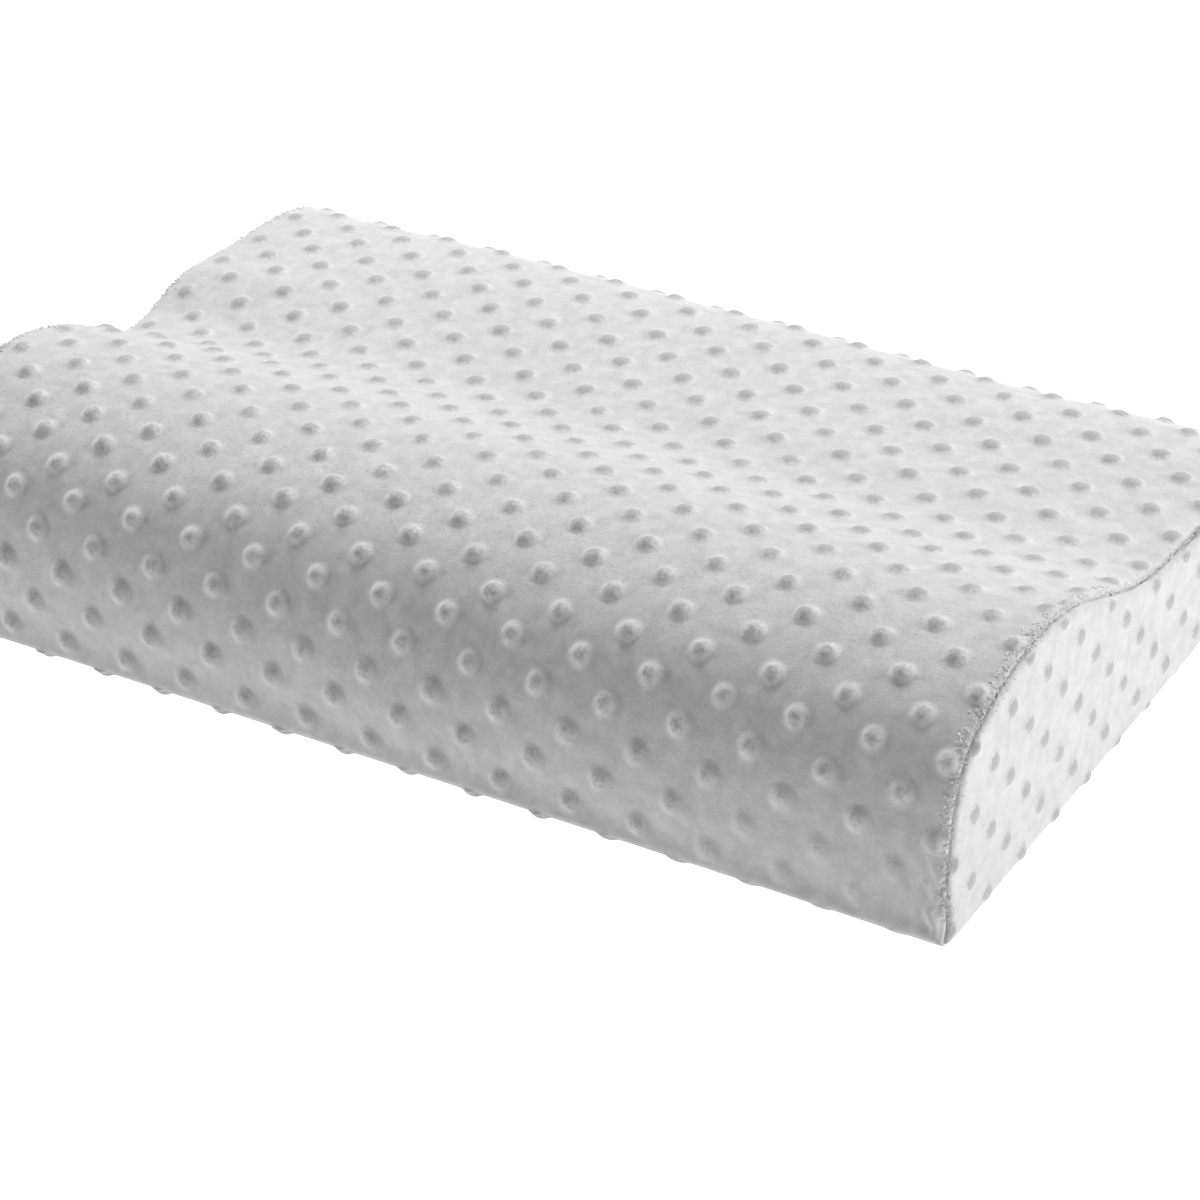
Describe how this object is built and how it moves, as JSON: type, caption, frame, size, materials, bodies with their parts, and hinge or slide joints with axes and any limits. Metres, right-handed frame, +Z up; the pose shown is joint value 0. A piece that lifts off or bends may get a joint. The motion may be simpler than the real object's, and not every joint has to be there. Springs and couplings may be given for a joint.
{
  "type": "contour bed pillow",
  "caption": "Contour pillow with a high front lobe, a shallow valley and a low back lobe: a foam core in a sewn liner, inside a zipped cover of raised-dot velour.",
  "frame": {"origin": "middle of the underside, on the surface the pillow lies on", "axes": "+X along the length, +Y towards the low lobe and the zip, -Y towards the high lobe, +Z up"},
  "size_m": [0.5, 0.304, 0.094],
  "materials": {
    "core_foam": "soft open-cell polyurethane memory foam, matt cream",
    "liner_jersey": "thin plain-knit polyester jersey, off-white",
    "liner_thread": "spun polyester sewing thread",
    "cover_velour": "pale grey short-pile velour with raised round dots in staggered rows, soft sheen",
    "cover_thread": "pale grey spun polyester sewing thread",
    "zip_tape_cloth": "pale grey woven polyester tape",
    "zip_nylon": "pale grey nylon monofilament coil",
    "zip_metal": "plated die-cast zinc, satin",
    "label_satin": "white woven satin ribbon, blank"
  },
  "bodies": {
    "pillow": {"foam_core": "core_foam", "liner_wrap": "liner_jersey", "liner_closing_thread": "liner_thread", "liner_end_right": "liner_jersey", "liner_end_left": "liner_jersey", "liner_end_thread_right": "liner_thread", "liner_end_thread_left": "liner_thread", "cover_base_panel": "cover_velour", "cover_top_panel": "cover_velour", "front_seam_thread": "cover_thread", "cover_end_right": "cover_velour", "cover_end_left": "cover_velour", "end_seam_thread_right": "cover_thread", "end_seam_thread_left": "cover_thread", "back_seam_thread_right": "cover_thread", "back_seam_thread_left": "cover_thread", "zip_tape_upper": "zip_tape_cloth", "zip_coil_upper": "zip_nylon", "zip_top_stop_upper": "zip_metal", "zip_stitch_upper": "cover_thread", "zip_tape_lower": "zip_tape_cloth", "zip_coil_lower": "zip_nylon", "zip_top_stop_lower": "zip_metal", "zip_stitch_lower": "cover_thread", "zip_bottom_stop": "zip_metal", "zip_end_tack_right": "cover_thread", "zip_end_tack_left": "cover_thread", "care_label": "label_satin"},
    "zip_slider": {"zip_slider_body": "zip_metal"},
    "zip_pull": {"zip_pull_tab": "zip_metal"}
  },
  "joints": [
    {"name": "slider_run", "type": "slide", "parent": "pillow", "child": "zip_slider", "axis": [-1, 0, 0], "range_m": [0, 0.412]},
    {"name": "pull_flip", "type": "hinge", "parent": "zip_slider", "child": "zip_pull", "pos_m": [0.2067, 0.15005, 0.032], "axis": [0, 0, -1], "range_deg": [0, 180]}
  ]
}
